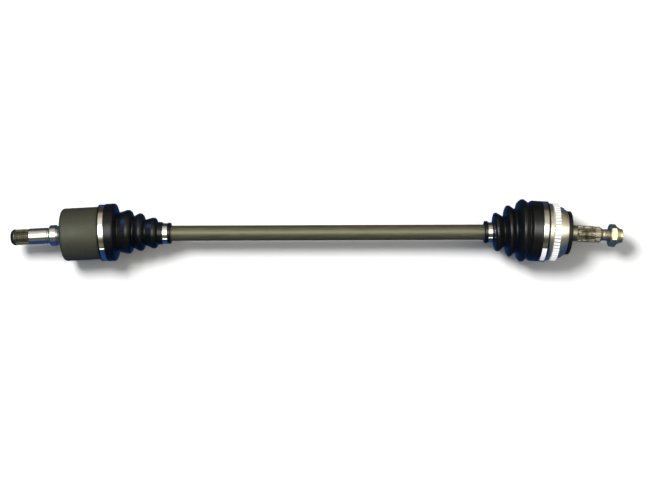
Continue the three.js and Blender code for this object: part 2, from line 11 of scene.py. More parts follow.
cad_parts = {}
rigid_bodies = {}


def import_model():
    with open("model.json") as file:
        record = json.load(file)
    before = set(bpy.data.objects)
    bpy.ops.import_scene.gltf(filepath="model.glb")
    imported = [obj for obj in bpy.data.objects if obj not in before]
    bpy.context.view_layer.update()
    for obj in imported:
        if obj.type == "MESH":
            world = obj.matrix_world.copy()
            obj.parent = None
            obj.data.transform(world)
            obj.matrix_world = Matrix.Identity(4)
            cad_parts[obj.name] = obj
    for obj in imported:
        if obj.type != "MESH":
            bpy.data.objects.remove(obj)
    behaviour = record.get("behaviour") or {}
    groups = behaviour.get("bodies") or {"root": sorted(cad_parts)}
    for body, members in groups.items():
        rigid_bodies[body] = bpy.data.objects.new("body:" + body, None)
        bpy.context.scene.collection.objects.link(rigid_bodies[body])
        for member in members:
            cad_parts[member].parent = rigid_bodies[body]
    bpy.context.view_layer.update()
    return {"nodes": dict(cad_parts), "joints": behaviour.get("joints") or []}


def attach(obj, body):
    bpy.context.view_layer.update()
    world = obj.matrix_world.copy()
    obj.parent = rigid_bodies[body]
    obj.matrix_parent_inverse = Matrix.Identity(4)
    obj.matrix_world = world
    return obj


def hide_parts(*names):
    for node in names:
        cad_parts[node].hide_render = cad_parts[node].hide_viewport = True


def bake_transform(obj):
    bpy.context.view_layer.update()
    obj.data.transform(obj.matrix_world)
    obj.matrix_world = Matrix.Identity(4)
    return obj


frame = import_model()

MM = 0.001
JOINTS = {joint["name"]: joint for joint in frame["joints"]}
TRIPOD = Vector(JOINTS["gearbox_end_yaw"]["pos_m"])
BALL_JOINT = Vector(JOINTS["bump_bar_half"]["pos_m"])
INBOARD_AXIS = Vector(JOINTS["gearbox_end_plunge"]["axis"])
OUTBOARD_AXIS = Vector(JOINTS["bump_wheel_half"]["axis"]).cross(Vector((0, 0, 1)))
INBOARD_BEND = math.atan2(-INBOARD_AXIS.y, -INBOARD_AXIS.x)
OUTBOARD_BEND = math.atan2(OUTBOARD_AXIS.y, OUTBOARD_AXIS.x)


def joint_frame(centre, axis):
    """A matrix with millimetres to metres, whose X axis is axis and whose Z axis is up."""
    x = Vector(axis).normalized()
    z = Vector((0, 0, 1))
    y = z.cross(x)
    turn = Matrix((x, y, z)).transposed().to_4x4()
    return Matrix.Translation(centre) @ turn @ Matrix.Scale(MM, 4)


BAR_FRAME = joint_frame(BALL_JOINT, (1, 0, 0))
INBOARD_BAR = joint_frame(TRIPOD, (-1, 0, 0))
INBOARD = joint_frame(TRIPOD, INBOARD_AXIS)
OUTBOARD = joint_frame(BALL_JOINT, OUTBOARD_AXIS)


# ---- Shader helpers ----


def fill_ramp(node, stops):
    """Sets the stops of a colour ramp: each is a place from 0 to 1 and a colour."""
    elements = node.color_ramp.elements
    while len(elements) < len(stops):
        elements.new(0.5)
    for element, (position, colour) in zip(elements, stops):
        element.position = position
        element.color = (*colour, 1)
    return node.outputs["Color"]


class Nodes:
    """Short names for the nodes of one material."""

    def __init__(self, name):
        self.material = bpy.data.materials.new(name)
        self.material.use_nodes = True
        self.tree = self.material.node_tree
        self.shader = self.tree.nodes["Principled BSDF"]
        self.coords = self.tree.nodes.new("ShaderNodeTexCoord").outputs["Object"]

    def add(self, kind, **settings):
        node = self.tree.nodes.new(kind)
        for key, value in settings.items():
            setattr(node, key, value)
        return node

    def link(self, output, target):
        self.tree.links.new(output, target)

    def stretched(self, scale):
        mapping = self.add("ShaderNodeMapping")
        mapping.inputs["Scale"].default_value = scale
        self.link(self.coords, mapping.inputs["Vector"])
        return mapping.outputs["Vector"]

    def noise(self, scale, detail=3.0, vector=None, roughness=0.55):
        node = self.add("ShaderNodeTexNoise")
        node.inputs["Scale"].default_value = scale
        node.inputs["Detail"].default_value = detail
        node.inputs["Roughness"].default_value = roughness
        self.link(vector or self.coords, node.inputs["Vector"])
        return node.outputs["Fac"]

    def ramp(self, factor, stops):
        node = self.add("ShaderNodeValToRGB")
        self.link(factor, node.inputs["Fac"])
        return fill_ramp(node, stops)

    def span(self, factor, low, high, from_low=0.3, from_high=0.7):
        node = self.add("ShaderNodeMapRange")
        node.inputs["From Min"].default_value = from_low
        node.inputs["From Max"].default_value = from_high
        node.inputs["To Min"].default_value = low
        node.inputs["To Max"].default_value = high
        self.link(factor, node.inputs["Value"])
        return node.outputs["Result"]

    def mix(self, factor, a, b):
        node = self.add("ShaderNodeMix", data_type="RGBA")
        self.link(factor, node.inputs["Factor"])
        self.link(a, node.inputs[6])
        self.link(b, node.inputs[7])
        return node.outputs[2]

    def bump(self, height, strength, distance):
        node = self.add("ShaderNodeBump")
        node.inputs["Strength"].default_value = strength
        node.inputs["Distance"].default_value = distance
        self.link(height, node.inputs["Height"])
        self.link(node.outputs["Normal"], self.shader.inputs["Normal"])

    def colour(self, output):
        self.link(output, self.shader.inputs["Base Color"])

    def roughness(self, output):
        self.link(output, self.shader.inputs["Roughness"])

    def metal(self, value):
        self.shader.inputs["Metallic"].default_value = value


def bar_paint():
    """Dark oiled steel with fine lengthwise scuffs and a few rubbed spots."""
    n = Nodes("bar_steel")
    n.metal(0.55)
    grain = n.noise(900, 4)
    streaks = n.noise(60, 5, n.stretched((0.6, 14, 14)))
    rubbed = n.noise(14, 6)
    body = n.ramp(grain, [(0.3, (0.09, 0.086, 0.052)), (0.75, (0.16, 0.154, 0.094))])
    worn = n.ramp(streaks, [(0.35, (0.08, 0.077, 0.047)), (0.7, (0.215, 0.204, 0.135))])
    n.colour(n.mix(n.span(rubbed, 0.1, 0.75), body, worn))
    n.roughness(n.span(streaks, 0.38, 0.55))
    n.bump(grain, 0.25, 0.0003)
    return n.material


def forging():
    """Dark phosphated steel with a fine grain and slightly rustier patches."""
    n = Nodes("forged_steel")
    n.metal(0.3)
    grain = n.noise(1100, 5)
    patches = n.noise(35, 5)
    cool = n.ramp(grain, [(0.3, (0.038, 0.04, 0.03)), (0.75, (0.084, 0.087, 0.065))])
    warm = n.ramp(grain, [(0.3, (0.044, 0.043, 0.026)), (0.75, (0.096, 0.093, 0.056))])
    n.colour(n.mix(n.span(patches, 0.0, 1.0), cool, warm))
    n.roughness(n.span(patches, 0.5, 0.62))
    n.bump(grain, 0.35, 0.0004)
    return n.material


def machined(name, dark, light, rough, lines=220, warm=None, metal=1.0, brushed=0.0, sheen=0.0):
    """Turned or ground steel, with fine tool rings round the axis that smear its highlights."""
    n = Nodes(name)
    n.metal(metal)
    n.shader.inputs["Sheen Weight"].default_value = sheen
    if brushed > 0:
        around = n.add("ShaderNodeTangent", direction_type="RADIAL", axis="X")
        n.link(around.outputs[0], n.shader.inputs["Tangent"])
        n.shader.inputs["Anisotropic"].default_value = brushed
        n.shader.inputs["Anisotropic Rotation"].default_value = 0.25
    rings = n.noise(lines, 4, n.stretched((14, 0.4, 0.4)))
    patches = n.noise(45, 5)
    clean = n.ramp(rings, [(0.3, dark), (0.7, light)])
    if warm is not None:
        stain = n.ramp(rings, [(0.3, tuple(0.6 * c for c in warm)), (0.7, warm)])
        clean = n.mix(n.span(patches, 0.0, 1.0, 0.42, 0.62), clean, stain)
    n.colour(clean)
    n.roughness(n.span(patches, rough, rough + 0.12))
    n.bump(rings, 0.15, 0.0001)
    return n.material


def rubber():
    """Smooth black rubber with a trace of dust in it, and a blue-tinted sheen that is a painted
    reflection of a blue surround at its grazing edges.
    """
    n = Nodes("boot_rubber")
    n.metal(0.0)
    grain = n.noise(1400, 3)
    dust = n.noise(28, 6)
    clean = n.ramp(grain, [(0.3, (0.002, 0.0025, 0.003)), (0.7, (0.004, 0.0045, 0.0045))])
    dusty = n.ramp(grain, [(0.3, (0.004, 0.0045, 0.004)), (0.7, (0.009, 0.0095, 0.0075))])
    n.colour(n.mix(n.span(dust, 0.0, 0.8, 0.42, 0.7), clean, dusty))
    n.roughness(n.span(dust, 0.25, 0.34))
    n.shader.inputs["Specular IOR Level"].default_value = 0.3
    # The blue sheen tint is a painted reflection: it stands in for a blue surround seen at the
    # rubber's edges.
    n.shader.inputs["Sheen Weight"].default_value = 0.05
    n.shader.inputs["Sheen Roughness"].default_value = 0.35
    n.shader.inputs["Sheen Tint"].default_value = (0.05, 0.25, 0.9, 1)
    n.bump(grain, 0.2, 0.0002)
    return n.material


def cap_paint():
    """Black pressed steel, slightly rubbed, for the dust cap. On the gearbox stub's end the same
    black is painted shade, standing in for the dark of its end chamfer and clip groove.
    """
    n = Nodes("cap_black")
    n.metal(0.0)
    n.shader.inputs["Specular IOR Level"].default_value = 0.25
    grain = n.noise(800, 4)
    n.colour(n.ramp(grain, [(0.3, (0.003, 0.0035, 0.004)), (0.75, (0.008, 0.0085, 0.009))]))
    n.roughness(n.span(grain, 0.38, 0.5))
    n.bump(grain, 0.15, 0.0002)
    return n.material


def greasy_spline():
    """Spline steel under an uneven film of brown-green grease."""
    n = Nodes("greasy_spline")
    n.metal(0.9)
    film = n.noise(130, 6)
    fine = n.noise(700, 4)
    bare = n.ramp(fine, [(0.3, (0.25, 0.23, 0.16)), (0.7, (0.5, 0.46, 0.35))])
    oily = n.ramp(fine, [(0.3, (0.035, 0.032, 0.016)), (0.7, (0.12, 0.11, 0.062))])
    n.colour(n.mix(n.span(film, 0.0, 1.0, 0.38, 0.58), bare, oily))
    n.roughness(n.span(film, 0.22, 0.5))
    n.bump(film, 0.3, 0.0003)
    return n.material


MATERIALS = {
    "bar": bar_paint(),
    "forged": forging(),
    "ground": machined("ground_steel", (0.66, 0.66, 0.62), (0.82, 0.82, 0.77), 0.2, brushed=0.7),
    "turned": machined("turned_steel", (0.8, 0.78, 0.7), (0.97, 0.95, 0.88), 0.42, 260,
                       warm=(0.88, 0.82, 0.64), brushed=0.9, metal=0.96),
    "band": machined("clamp_steel", (0.70, 0.70, 0.64), (0.84, 0.84, 0.78), 0.14, 120,
                     brushed=0.5),
    "tone": machined("tone_ring_steel", (0.86, 0.85, 0.84), (0.99, 0.98, 0.99), 0.3, 160,
                     metal=0.0, sheen=0.5),
    "nut": machined("nut_zinc", (0.68, 0.64, 0.34), (0.88, 0.84, 0.46), 0.28, 90),
    "spring": machined("spring_steel", (0.09, 0.09, 0.09), (0.17, 0.17, 0.165), 0.35, 90),
    "rubber": rubber(),
    "cap": cap_paint(),
    "spline": greasy_spline(),
    "land": machined("land_steel", (0.3, 0.265, 0.2), (0.5, 0.45, 0.36), 0.34, 220),
    "thread": machined("thread_steel", (0.42, 0.37, 0.3), (0.68, 0.62, 0.52), 0.36, 220),
    "neck": machined("neck_steel", (0.2, 0.19, 0.13), (0.36, 0.34, 0.25), 0.36, 160),
    "dark_spline": machined("dark_spline", (0.055, 0.052, 0.034), (0.13, 0.124, 0.086), 0.42, 60),
}


# ---- Turned shapes ----


def fillet(points, radius, steps=3):
    """Rounds every inner corner of an outline of [x, radius] points."""
    made = [points[0]]
    for before, corner, after in zip(points, points[1:], points[2:]):
        p, c, q = (np.array(v[:2], float) for v in (before, corner, after))
        size = corner[2] if len(corner) > 2 else radius
        into, out = p - c, q - c
        lengths = np.linalg.norm(into), np.linalg.norm(out)
        if size <= 0 or min(lengths) < 1e-6:
            made.append(tuple(c))
            continue
        into, out = into / lengths[0], out / lengths[1]
        half = 0.5 * math.acos(float(np.clip(into @ out, -1, 1)))
        if half > 0.49 * math.pi:
            made.append(tuple(c))
            continue
        reach = min(size / math.tan(half), 0.45 * min(lengths))
        start, end = c + reach * into, c + reach * out
        for i in range(steps + 1):
            t = i / steps
            made.append(tuple((1 - t) ** 2 * start + 2 * t * (1 - t) * c + t * t * end))
    made.append(points[-1])
    return [(float(v[0]), float(v[1])) for v in made]


def held(points, inset=0.35):
    """Adds a point near each end of a long segment, so that shading stays flat between them."""
    made = [points[0]]
    for before, after in zip(points, points[1:]):
        p, q = np.array(before[:2], float), np.array(after[:2], float)
        length = np.linalg.norm(q - p)
        if length > 4 * inset and min(p[1], q[1]) > 0:
            step = inset * (q - p) / length
            made += [tuple(p + step), tuple(q - step)]
        made.append(after)
    return made


def mesh_piece(name, vertices, faces, matrix, material, sharp=35):
    mesh = bpy.data.meshes.new(name)
    mesh.from_pydata([tuple(v) for v in vertices], [], faces)
    mesh.transform(matrix)
    tidy = bmesh.new()
    tidy.from_mesh(mesh)
    bmesh.ops.remove_doubles(tidy, verts=tidy.verts, dist=1e-6)
    bmesh.ops.recalc_face_normals(tidy, faces=tidy.faces)
    tidy.to_mesh(mesh)
    tidy.free()
    mesh.shade_smooth()
    mesh.set_sharp_from_angle(angle=math.radians(sharp))
    mesh.materials.append(MATERIALS[material])
    piece = bpy.data.objects.new(name, mesh)
    bpy.context.scene.collection.objects.link(piece)
    return piece


def turned(name, profile, matrix, material, facets=96, closed=False, shape=None, sharp=35,
           bend=None):
    """A profile of (x, radius) turned round X. shape(x, r, angle) may change the radius, and
    bend moves each point afterwards. The angle is 0 at the top and grows towards -Y."""
    if closed:
        profile = list(profile) + [profile[0]]
    profile = held(list(profile))
    angles = np.arange(facets) * 2 * math.pi / facets
    rows = []
    for x, r in profile:
        radius = np.full(facets, float(r))
        if shape is not None and r > 0:
            radius = shape(x, radius, angles)
        rows.append(np.column_stack([np.full(facets, float(x)), -radius * np.sin(angles),
                                     radius * np.cos(angles)]))
    vertices = np.concatenate(rows)
    if bend is not None:
        vertices = bend(vertices)
    faces = []
    for row in range(len(profile) - 1):
        for i in range(facets):
            j = (i + 1) % facets
            a, b = row * facets, (row + 1) * facets
            faces.append((a + i, a + j, b + j, b + i))
    return mesh_piece(name, vertices, faces, matrix, material, sharp)


def solid_turned(name, profile, matrix, material, **options):
    """A round body closed on its axis at both ends."""
    whole = [(profile[0][0], 0.0), *profile, (profile[-1][0], 0.0)]
    return turned(name, whole, matrix, material, **options)


def teeth(count, depth, x_from, x_to, flat=0.5, flank=0.18):
    """A shape that cuts count grooves of the given depth between two places on the axis."""

    def shape(x, r, angle):
        if not x_from - 1e-6 <= x <= x_to + 1e-6:
            return r
        phase = (angle * count / (2 * math.pi)) % 1.0
        edge = np.abs(phase - 0.5) * 2  # 0 in the middle of a tooth, 1 in the middle of a gap
        down = np.clip((edge - flat) / flank, 0, 1)
        return r - depth * down

    return shape


# ---- The bar ----

BAR_R = 12.2
NECK_R = 11
SEAT_R = 12
SEAT_END = 15.5  # from a joint's centre to the bar's side of its seat
NECK_FROM = 16.5
NECK_TO = 40
TAPER_END = 46
SPIDER_CLIP = 10.3  # from a joint's centre to its snap rings
RACE_CLIP = 11.8
BAR_SPAN = (BALL_JOINT - TRIPOD).length / MM  # between the joint centres
CLIP_WIDTH = 1.6
CLIP_DEPTH = 1.2
GAP = 0.3  # between two pieces that meet


def groove(x, r):
    return [(x, r, 0), (x, r - CLIP_DEPTH, 0), (x + CLIP_WIDTH, r - CLIP_DEPTH, 0),
            (x + CLIP_WIDTH, r, 0)]


def add_bar():
    near, far = 14, 15  # past the tripod centre and past the ball joint centre
    tripod = -BAR_SPAN
    profile = fillet(
        [(tripod - near, SEAT_R - 1), (tripod - near + 1, SEAT_R),
         *groove(tripod - SPIDER_CLIP - CLIP_WIDTH, SEAT_R), *groove(tripod + SPIDER_CLIP, SEAT_R),
         (tripod + SEAT_END, SEAT_R), (tripod + NECK_FROM, NECK_R), (tripod + NECK_TO, NECK_R),
         (tripod + TAPER_END, BAR_R), (-TAPER_END, BAR_R), (-NECK_TO, NECK_R),
         (-NECK_FROM, NECK_R), (-SEAT_END, SEAT_R),
         *groove(-RACE_CLIP - CLIP_WIDTH, SEAT_R), *groove(RACE_CLIP, SEAT_R),
         (far - 1, SEAT_R), (far, SEAT_R - 1)], 0.5)
    bar = solid_turned("bar", profile, BAR_FRAME, "bar", facets=96)
    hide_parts("axle_shaft")
    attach(bar, "shaft")


# ---- The gearbox end ----

CUP_R = 42
CUP_MOUTH = -32
CUP_BACK = 42.6
CUP_FLOOR = 36.5
CUP_BORE_R = 37.5
CUP_RIDGE_R = 21
CUP_FLARE_R = 27.5  # of the ridges at the mouth
CUP_FLARE_TO = -15
TRACK_HALF_WIDTH = 15.2
STUB_SPLINE_FROM = 97.2
STUB_END = 125.4
STUB_TEETH = 23
STUB_CLIP_X = 118.6


def tulip(x, r, angle):
    """The cup's bore: three wide roller tracks, and ridges that flare at the mouth."""
    ridge = np.interp(x, [CUP_MOUTH, CUP_FLARE_TO], [CUP_FLARE_R, CUP_RIDGE_R])
    inside = (r < CUP_BORE_R + 0.1) & (x < CUP_FLOOR + 0.1)
    off = (angle + math.pi / 3) % (2 * math.pi / 3) - math.pi / 3
    side = TRACK_HALF_WIDTH / np.maximum(np.abs(np.sin(off)), 1e-6)
    bore = np.clip(side, ridge, CUP_BORE_R)
    return np.where(inside & (r > 1), np.minimum(r, bore), r)


def add_gearbox_end():
    cup = turned("cup", [
        (CUP_MOUTH, CUP_BORE_R),
        *fillet([(CUP_MOUTH, CUP_BORE_R), (CUP_MOUTH, CUP_R, 0.8), (CUP_BACK, CUP_R, 6),
                 (CUP_BACK, 20.5)], 1, 6),
        (CUP_BACK, 0), (CUP_FLOOR, 0), (CUP_FLOOR, CUP_RIDGE_R), (CUP_FLOOR, CUP_BORE_R),
        (CUP_FLARE_TO, CUP_BORE_R)],
        INBOARD, "forged", facets=144, closed=True, shape=tulip)
    shoulder = fillet([(CUP_BACK, 20.5), (52, 14, 2), (53, 16.5), (62.2, 16.5),
                       (64.5, 14.2), (64.5, 11.8), (67, 11.8), (67.4, 12.8),
                       (STUB_SPLINE_FROM - 1, 12.8), (STUB_SPLINE_FROM, 11.6)], 0.5)
    journal = solid_turned("gearbox_journal", shoulder, INBOARD, "ground")
    root = 11.3
    tip = 12.4
    spline_to = 123

    def splined(x, r, angle):
        cut = teeth(STUB_TEETH, tip - root, STUB_SPLINE_FROM, spline_to)(x, r, angle)
        return np.maximum(cut, np.minimum(r, root))

    spline = solid_turned("gearbox_spline", [
        (STUB_SPLINE_FROM, root), (STUB_SPLINE_FROM, tip - 0.5), (STUB_SPLINE_FROM + 0.8, tip),
        (STUB_CLIP_X, tip), (STUB_CLIP_X, 10.6)],
        INBOARD, "dark_spline", facets=STUB_TEETH * 10, shape=splined)
    # The stub's end past the clip takes the black cap paint: painted shade, standing in for the dark
    # its end chamfer and clip groove show.
    end = solid_turned("gearbox_spline_end", [
        (STUB_CLIP_X + 0.02, 10.6), (STUB_CLIP_X + CLIP_WIDTH, 10.6),
        (STUB_CLIP_X + CLIP_WIDTH, tip), (spline_to - 0.8, tip), (spline_to, tip - 0.8),
        (spline_to, root), (STUB_END - 1.2, root - 0.7), (STUB_END, root - 2)],
        INBOARD, "cap", facets=STUB_TEETH * 10, shape=splined)
    for piece in (cup, journal, spline, end):
        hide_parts("inner_housing")
        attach(piece, "gearbox_end")


# ---- The wheel end ----

BELL_MOUTH = -21
BELL_RIM_R = 44
BELL_RING_R = 45.4
BELL_BORE_R = 33.9
BELL_FLOOR = 24.5
BALL_CIRCLE_R = 30
BALL_TRACK_R = 10
BALLS = 6
CAP_FROM = 23.4
CAP_LIP = 28.3
CAP_TO = 29.6
CAP_R = 34.7
CAP_BORE_R = 30.8
HUB_SEAT_R = 21.7
HUB_SEAT_X = 30.6
WHEEL_SPLINE_FROM = 41.1
WHEEL_SPLINE_TO = 69.4
WHEEL_TEETH = 26
THREAD_R = 9.6
THREAD_END = 112.6
THREAD_PITCH = 1.5
TONE_TEETH = 50
TONE_FROM = -1.1
TONE_TO = 8.2
NUT_FROM = 92.9
NUT_END = 113.4
NUT_HALF_FLATS = 16
HEX_LEAN = math.radians(7.2)


def ball_tracks(x, r, angle):
    """The bell's bore: a ball's track is a ring about the joint centre, cut into the round bore."""
    inside = (r < BELL_BORE_R + 0.1) & (x < BELL_FLOOR)
    off = (angle + math.pi / BALLS) % (2 * math.pi / BALLS) - math.pi / BALLS
    sideways = r * np.abs(np.sin(off))
    room = np.sqrt(np.maximum(BALL_TRACK_R**2 - sideways**2, 0))
    reach = np.sqrt(np.maximum((BALL_CIRCLE_R + room) ** 2 - x**2, 0))
    in_track = (sideways < BALL_TRACK_R) & (np.abs(x) < BALL_CIRCLE_R)
    return np.where(inside & in_track, np.maximum(r, reach), r)


def add_bell():
    back_from = CAP_FROM - GAP
    outside = fillet([
        (BELL_MOUTH, 37), (BELL_MOUTH, BELL_RIM_R, 1), (-8.2, BELL_RIM_R, 0.3),
        (-8.2, BELL_RING_R, 0.7), (-3.2, BELL_RING_R, 0.7), (TONE_FROM - GAP, BELL_RIM_R, 0.3),
        (TONE_FROM - GAP, 41.7), (8.8, 41.7, 0.3), (10.6, 41.5, 0.6), (17, 39.6, 0.5),
        (17, 38.4, 0.3), (22, 35.6, 0.6), (back_from, 33.4)], 0.4)
    bore = []
    steps = 18
    start, end = math.asin(-14 / BELL_BORE_R), math.asin(back_from / BELL_BORE_R)
    for i in range(steps + 1):
        turn = end + (start - end) * i / steps
        bore.append((BELL_BORE_R * math.sin(turn), BELL_BORE_R * math.cos(turn)))
    bell = turned("bell", [*outside, *bore, (BELL_MOUTH, 34.5)],
                  OUTBOARD, "turned", facets=144, closed=True, shape=ball_tracks)
    back = solid_turned("bell_back", fillet([
        (BELL_FLOOR, 23.4), (back_from, bore[0][1], 0),
        (back_from, CAP_BORE_R - GAP), (CAP_LIP - GAP, CAP_BORE_R - GAP),
        (CAP_LIP - GAP, HUB_SEAT_R, 0.3), (HUB_SEAT_X, HUB_SEAT_R, 0.8), (HUB_SEAT_X, 12.8, 1.2),
        (WHEEL_SPLINE_FROM - 1, 12.6), (WHEEL_SPLINE_FROM, 12)], 0.4), OUTBOARD, "neck")
    for piece in (bell, back):
        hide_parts("outer_housing")
        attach(piece, "wheel_end")


def add_wheel_stub():
    tip, root = 13, 12.1
    land_to = 77.6
    spline = solid_turned("wheel_spline", [
        (WHEEL_SPLINE_FROM, root), (WHEEL_SPLINE_FROM, tip - 0.6), (WHEEL_SPLINE_FROM + 1, tip),
        (WHEEL_SPLINE_TO - 0.8, tip), (WHEEL_SPLINE_TO, tip - 0.6), (WHEEL_SPLINE_TO, root)],
        OUTBOARD, "spline", facets=WHEEL_TEETH * 10,
        shape=lambda x, r, angle: np.maximum(
            teeth(WHEEL_TEETH, tip - root, WHEEL_SPLINE_FROM, WHEEL_SPLINE_TO)(x, r, angle),
            np.minimum(r, root)))
    low = 12.0
    land = solid_turned("wheel_spline_land", [
        (WHEEL_SPLINE_TO, low), (WHEEL_SPLINE_TO + 0.2, low), (WHEEL_SPLINE_TO + 0.6, 12.7),
        (land_to - 0.5, 12.7), (land_to, 12.2), (82, 9.1)],
        OUTBOARD, "land", facets=WHEEL_TEETH * 10,
        shape=lambda x, r, angle: teeth(WHEEL_TEETH, 0.55, WHEEL_SPLINE_TO + 0.6, land_to)(
            x, r, angle))
    thread = [(82, 9.0), (84.6, 9.0)]
    x = 85.2
    while x + THREAD_PITCH < THREAD_END - 1:
        thread += [(x, 8.75), (x + 0.42 * THREAD_PITCH, THREAD_R),
                   (x + 0.58 * THREAD_PITCH, THREAD_R)]
        x += THREAD_PITCH
    thread += [(THREAD_END - 0.8, 9.0), (THREAD_END, 8.4)]
    screw = solid_turned("wheel_thread", thread, OUTBOARD, "thread", facets=96)
    for piece in (spline, land, screw):
        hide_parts("outer_housing")
        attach(piece, "wheel_end")


def add_tone_ring():
    inside, root, tip = 42, 44.2, 45.8
    ring = turned("tone_ring", [
        (TONE_FROM, inside), (TONE_FROM, tip - 0.4), (TONE_FROM + 0.4, tip),
        (TONE_TO - 0.4, tip), (TONE_TO, tip - 0.4), (TONE_TO, inside)],
        OUTBOARD, "tone", facets=TONE_TEETH * 12, closed=True,
        shape=lambda x, r, angle: np.where(
            r > root, teeth(TONE_TEETH, tip - root, TONE_FROM, TONE_TO, 0.64, 0.1)(x, r, angle),
            r))
    gaps = turned("tone_ring_gaps", [
        (TONE_FROM + 0.3, inside + 1), (TONE_FROM + 0.3, root + 0.4), (TONE_TO - 0.3, root + 0.4),
        (TONE_TO - 0.3, inside + 1)], OUTBOARD, "band", facets=144, closed=True)
    for piece in (ring, gaps):
        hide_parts("abs_ring")
        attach(piece, "wheel_end")


def add_dust_cap():
    cap = turned("dust_cap_shell", [
        *fillet([(CAP_FROM, CAP_BORE_R), (CAP_FROM, CAP_R, 0.7), (CAP_TO, CAP_R, 2.4),
                 (CAP_TO, HUB_SEAT_R + GAP)], 0.5, 6),
        (CAP_LIP, HUB_SEAT_R + GAP), (CAP_LIP, CAP_BORE_R)],
        OUTBOARD, "cap", facets=128, closed=True)
    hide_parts("dust_cap")
    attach(cap, "wheel_end")


def hexagon(x, r, angle):
    turn = (angle + HEX_LEAN + math.pi / 6) % (math.pi / 3) - math.pi / 6
    on_hex = NUT_FROM + 2.4 < x < NUT_FROM + 12
    return np.minimum(r, NUT_HALF_FLATS / np.cos(turn)) if on_hex else r


def add_nut():
    flange, corner, collar = 17.8, NUT_HALF_FLATS / math.cos(math.pi / 6), 10.9
    hex_to, cone_to = 103.6, 109.7
    outside = [(NUT_FROM, flange - 0.8), (NUT_FROM + 0.6, flange), (NUT_FROM + 1.6, flange),
               (NUT_FROM + 2.3, flange - 0.5), (NUT_FROM + 2.5, corner - 0.4),
               (NUT_FROM + 3.2, corner)]
    steps = 8
    for i in range(steps + 1):
        t = i / steps
        outside.append((hex_to - 2.2 + 2.2 * t, corner - 3.6 * t**1.6))
    outside += [(cone_to, collar + 0.5), (cone_to + 0.3, collar), (NUT_END - 0.5, collar),
                (NUT_END, collar - 0.5), (NUT_END, THREAD_R + GAP), (NUT_FROM, THREAD_R + GAP)]
    nut = turned("nut", outside, OUTBOARD, "nut", facets=192, closed=True, shape=hexagon,
                 sharp=22)
    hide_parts("hub_nut")
    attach(nut, "wheel_end")


# ---- The boots ----

INBOARD_BOOT = {
    "wall": 2.2, "small_end": -129.5, "lip_r": 17, "seat": (-124.4, -116.4), "seat_r": 14.8,
    "neck_r": 18,
    "folds": [(-108.6, -102, 24.6, -89.8, 21), (-88.2, -80.8, 30.2, -71, 25.6),
              (-69.4, -61.8, 35, -46.5, 30.8)],
    "lean": 0.052, "lean_skew": 2,
    "collar": (-41.9, -27.8), "collar_r": 46, "clamp_seat_r": 44, "clamp_end": -19.5,
    "large_end": -17.4, "housing_r": CUP_R,
}
OUTBOARD_BOOT = {
    "wall": 2.2, "small_end": -107, "lip_r": 17.8, "seat": (-101.2, -94.2), "seat_r": 14.6,
    "neck_r": 16.6,
    "folds": [(-92.9, -87.8, 30.8, -76.8, 24.6), (-74.3, -68.4, 40.9, -59.6, 35.2),
              (-56.8, -47.4, 49.9, -38.4, 44.4)],
    "lean": -0.058, "lean_skew": 0.42,
    "collar": (-34, -19), "collar_r": 48.2, "clamp_seat_r": 47, "clamp_end": -11,
    "large_end": -8.6, "housing_r": BELL_RIM_R,
}
CREST_HALF_FLAT = 1.9
LIP_HEIGHT = 1.4


def boot_outlines(boot):
    """The outer and the inner outline, each from the small end to the large end."""
    bore = BAR_R + 0.4
    seat_from, seat_to = boot["seat"]
    outer = [(boot["small_end"], bore + 0.6), (boot["small_end"], boot["lip_r"] - 0.6, 1.6),
             (boot["small_end"] + 1.6, boot["lip_r"], 1.2),
             (seat_from - 0.4, boot["lip_r"], 0.8), (seat_from - 0.4, boot["seat_r"], 0.3),
             (seat_to + 0.4, boot["seat_r"], 0.3), (seat_to + 0.4, boot["neck_r"], 0.8)]
    inner = [(boot["small_end"], bore), (seat_to + 2, bore, 1)]
    foot_r = boot["neck_r"]
    for foot_x, crest_x, crest_r, valley_x, valley_r in boot["folds"]:
        rise = crest_r - foot_r
        outer.append((max(foot_x, seat_to + 0.8), foot_r, 1.2))
        outer.append((foot_x + 0.3 * (crest_x - foot_x), foot_r + 0.7 * rise, 4))
        outer.append((crest_x - CREST_HALF_FLAT, crest_r, 3))
        outer.append((crest_x + CREST_HALF_FLAT, crest_r, 3))
        outer.append((valley_x, valley_r, 1.2))
        inner.append((crest_x, crest_r - boot["wall"], 2))
        inner.append((valley_x, valley_r - boot["wall"], 0.5))
        foot_r = valley_r
    collar_from, collar_to = boot["collar"]
    housing = boot["housing_r"] + GAP
    outer += [(collar_from, boot["collar_r"], 4), (collar_to, boot["collar_r"], 0.6),
              (collar_to, boot["clamp_seat_r"], 0.2), (boot["clamp_end"], boot["clamp_seat_r"], 0.2),
              (boot["clamp_end"], boot["clamp_seat_r"] + LIP_HEIGHT, 0.6),
              (boot["large_end"], boot["clamp_seat_r"] + LIP_HEIGHT, 0.8),
              (boot["large_end"], housing + 0.4)]
    inner += [(collar_from + boot["wall"], housing, 1), (boot["large_end"], housing)]
    return fillet(outer, 1, 6), fillet(inner, 1, 3)


def bender(boot, angle):
    """Bends mesh points about the joint: all of the angle at the collar, none at the small end.
    The folds also lean a little along the axis, where the bend bunches them."""
    start = boot["seat"][1]

    def along(points, end):
        return np.clip((points[:, 0] - start) / (end - start), 0, 1)

    def bend(points):
        t = along(points, boot["collar"][0])
        turn = angle * t * t * (3 - 2 * t)
        lean = np.sin(math.pi * along(points, boot["collar"][1]) ** boot["lean_skew"])
        y = points[:, 1].copy()
        x = points[:, 0] + boot["lean"] * lean * y
        made = points.copy()
        made[:, 0] = x * np.cos(turn) - y * np.sin(turn)
        made[:, 1] = x * np.sin(turn) + y * np.cos(turn)
        return made

    return bend


